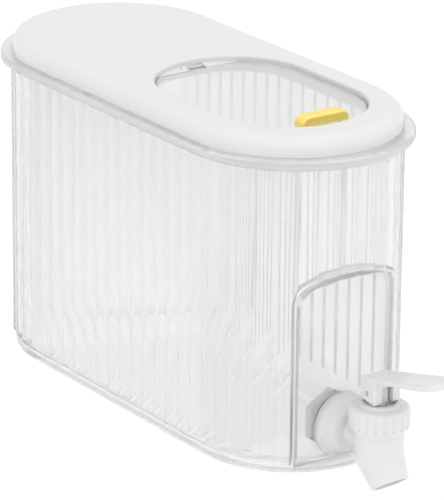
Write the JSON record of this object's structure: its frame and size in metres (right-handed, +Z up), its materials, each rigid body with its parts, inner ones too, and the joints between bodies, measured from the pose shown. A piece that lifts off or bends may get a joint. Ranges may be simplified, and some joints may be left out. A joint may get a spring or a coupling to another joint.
{
  "type": "water jug",
  "caption": "Long round-ended clear fluted water jug for a fridge shelf, with a white lift-off lid, a clear flip hatch with a gold tab and a white push-lever tap.",
  "frame": {"origin": "centre of the flat foot that the jug stands on, under the middle of the tank", "axes": "+X along the tank towards the tap, +Y across the tank, +Z up"},
  "size_m": [0.3471, 0.1224, 0.1836],
  "materials": {
    "clear_plastic": "clear, glossy",
    "white_plastic": "satin white",
    "gold_plastic": "polished, gold coloured",
    "silicone": "translucent white silicone",
    "steel": "stainless"
  },
  "bodies": {
    "jug": {"tank": "clear_plastic", "tap_body": "white_plastic", "tap_outer_washer": "silicone", "tap_inner_washer": "silicone", "tap_lock_nut": "white_plastic", "tap_bonnet": "white_plastic", "valve_diaphragm": "silicone", "spring_washer": "steel", "valve_spring": "steel"},
    "lid": {"lid_cover": "white_plastic", "lid_liner": "white_plastic", "lid_gasket": "silicone", "hatch_gasket": "silicone", "hatch_hinge_pin": "steel"},
    "hatch": {"hatch_window": "clear_plastic", "hatch_tab": "gold_plastic"},
    "stem": {"valve_stem": "white_plastic", "valve_plug": "silicone"},
    "lever": {"tap_lever": "white_plastic", "lever_pin": "steel"}
  },
  "joints": [
    {"name": "lid_lift", "type": "slide", "parent": "jug", "child": "lid", "axis": [0, 0, 1], "range_m": [0, 0.06]},
    {"name": "hatch_hinge", "type": "hinge", "parent": "lid", "child": "hatch", "pos_m": [-0.0073, 0, 0.1779], "axis": [0, -1, 0], "range_deg": [0, 100]},
    {"name": "stem_lift", "type": "slide", "parent": "jug", "child": "stem", "axis": [0, 0, 1], "range_m": [0, 0.0022], "deforming": ["valve_spring"]},
    {"name": "lever_press", "type": "hinge", "parent": "stem", "child": "lever", "pos_m": [0.154, 0, 0.0528], "axis": [0, 1, 0], "range_deg": [0, 24], "stiffness_Nm_per_rad": 0.3, "springref_deg": -22.92}
  ],
  "couplings": [
    {"joint": "stem_lift", "follows": "lever_press", "m_per_rad": 0.00525}
  ]
}
